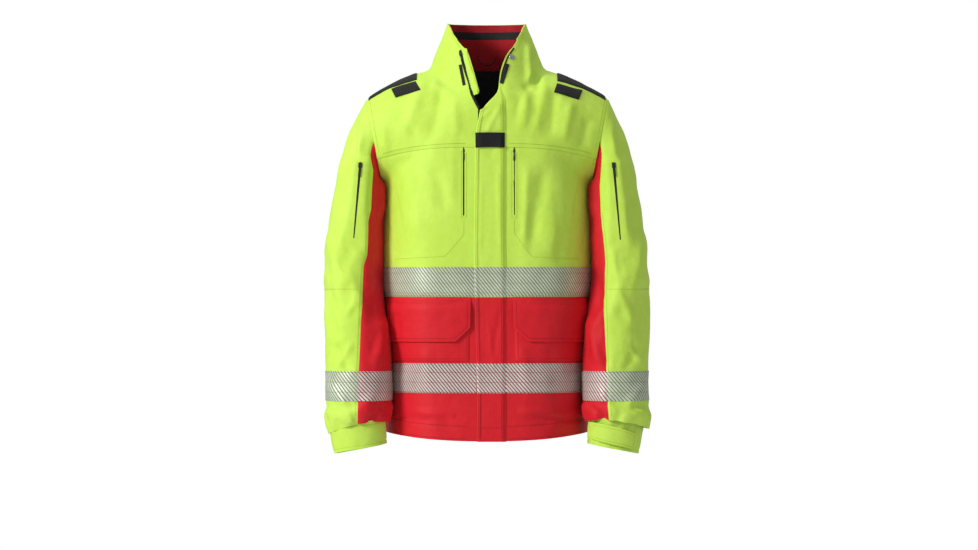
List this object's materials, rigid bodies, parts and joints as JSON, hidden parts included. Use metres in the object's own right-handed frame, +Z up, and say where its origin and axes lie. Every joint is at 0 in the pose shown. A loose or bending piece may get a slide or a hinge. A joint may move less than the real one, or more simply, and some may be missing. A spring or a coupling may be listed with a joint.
{
  "type": "responder parka",
  "caption": "High-visibility hip-length parka with stand collar, storm flap over a front zip, flap pockets, sleeve pockets, cuff tabs and reflective bands.",
  "frame": {"origin": "centre of the neck at the level of the collar seam", "axes": "+X to the wearer's left, +Y to the wearer's back, +Z up"},
  "size_m": [0.5774, 0.3004, 0.764],
  "materials": {
    "hivis_yellow": "matte woven",
    "red": "matte woven",
    "reflective": "retroreflective segmented",
    "black_fabric": "matte woven",
    "lining_black": "satin woven",
    "zip_plastic": "moulded",
    "snap_metal": "satin black"
  },
  "bodies": {
    "coat_body": {"front_yoke_right": "hivis_yellow", "front_yoke_left": "hivis_yellow", "back_yoke": "hivis_yellow", "front_upper_right": "hivis_yellow", "front_upper_left": "hivis_yellow", "back_upper": "hivis_yellow", "collar_outer": "hivis_yellow", "zip_guard": "hivis_yellow", "front_lower_right": "red", "front_lower_left": "red", "side_panel_right": "red", "side_panel_left": "red", "back_lower": "red", "collar_lining": "red", "lower_pocket_right": "red", "lower_pocket_left": "red", "chest_tape": "reflective", "hem_tape": "reflective", "front_loop_strip": "black_fabric", "shoulder_patch_right": "black_fabric", "shoulder_patch_left": "black_fabric", "mic_tabs": "black_fabric", "collar_hook_strips": "black_fabric", "hanger_loop": "black_fabric", "main_zip_tapes": "black_fabric", "body_lining": "lining_black", "chest_pocket_bags": "lining_black", "main_zip_teeth": "zip_plastic", "main_zip_retainer": "zip_plastic", "chest_zip_chains": "zip_plastic", "collar_zip_chain": "zip_plastic", "collar_snap": "snap_metal"},
    "storm_flap": {"storm_flap_upper": "hivis_yellow", "storm_flap_lower": "red", "storm_flap_chest_tape": "reflective", "storm_flap_hem_tape": "reflective", "radio_loop": "black_fabric", "storm_flap_hook_strips": "black_fabric"},
    "main_slider": {"main_slider": "zip_plastic"},
    "chest_slider_right": {"chest_slider_right": "zip_plastic"},
    "chest_slider_left": {"chest_slider_left": "zip_plastic"},
    "pocket_flap_right": {"pocket_flap_right": "red"},
    "pocket_flap_left": {"pocket_flap_left": "red"},
    "sleeve_right": {"sleeve_outer_right": "hivis_yellow", "sleeve_inner_right": "red", "sleeve_tape_right": "reflective", "sleeve_zip_chain_right": "zip_plastic", "cuff_right": "red"},
    "sleeve_slider_right": {"sleeve_slider_right": "zip_plastic"},
    "cuff_tab_right": {"cuff_tab_right": "hivis_yellow"},
    "sleeve_left": {"sleeve_outer_left": "hivis_yellow", "sleeve_inner_left": "red", "sleeve_tape_left": "reflective", "sleeve_zip_chain_left": "zip_plastic", "cuff_left": "red"},
    "sleeve_slider_left": {"sleeve_slider_left": "zip_plastic"},
    "cuff_tab_left": {"cuff_tab_left": "hivis_yellow"}
  },
  "joints": [
    {"name": "storm_flap_hinge", "type": "hinge", "parent": "coat_body", "child": "storm_flap", "pos_m": [0.032, -0.11979, 0.00024], "axis": [0, 0.0499, 0.9988], "range_deg": [0, 100]},
    {"name": "main_zip_slide", "type": "slide", "parent": "coat_body", "child": "main_slider", "axis": [0, -0.0499, -0.9988], "range_m": [0, 0.53]},
    {"name": "chest_zip_slide_right", "type": "slide", "parent": "coat_body", "child": "chest_slider_right", "axis": [0, -0.0499, -0.9988], "range_m": [0, 0.1]},
    {"name": "chest_zip_slide_left", "type": "slide", "parent": "coat_body", "child": "chest_slider_left", "axis": [0, -0.0499, -0.9988], "range_m": [0, 0.1]},
    {"name": "pocket_flap_hinge_right", "type": "hinge", "parent": "coat_body", "child": "pocket_flap_right", "pos_m": [-0.1, -0.139, -0.396], "axis": [-1, 0, 0], "range_deg": [0, 150]},
    {"name": "pocket_flap_hinge_left", "type": "hinge", "parent": "coat_body", "child": "pocket_flap_left", "pos_m": [0.108, -0.139, -0.396], "axis": [-1, 0, 0], "range_deg": [0, 150]},
    {"name": "shoulder_swing_right", "type": "hinge", "parent": "coat_body", "child": "sleeve_right", "pos_m": [-0.2142, 0, -0.0411], "axis": [0, 1, 0], "range_deg": [0, 35]},
    {"name": "sleeve_zip_slide_right", "type": "slide", "parent": "sleeve_right", "child": "sleeve_slider_right", "axis": [-0.085, -0.0991, -0.9914], "range_m": [0, 0.11]},
    {"name": "cuff_tab_hinge_right", "type": "hinge", "parent": "sleeve_right", "child": "cuff_tab_right", "pos_m": [-0.197, -0.134, -0.6445], "axis": [0, 0, 1], "range_deg": [0, 150]},
    {"name": "shoulder_swing_left", "type": "hinge", "parent": "coat_body", "child": "sleeve_left", "pos_m": [0.2142, 0, -0.0411], "axis": [0, -1, 0], "range_deg": [0, 35]},
    {"name": "sleeve_zip_slide_left", "type": "slide", "parent": "sleeve_left", "child": "sleeve_slider_left", "axis": [0.085, -0.0991, -0.9914], "range_m": [0, 0.11]},
    {"name": "cuff_tab_hinge_left", "type": "hinge", "parent": "sleeve_left", "child": "cuff_tab_left", "pos_m": [0.197, -0.134, -0.6445], "axis": [0, 0, -1], "range_deg": [0, 150]}
  ]
}
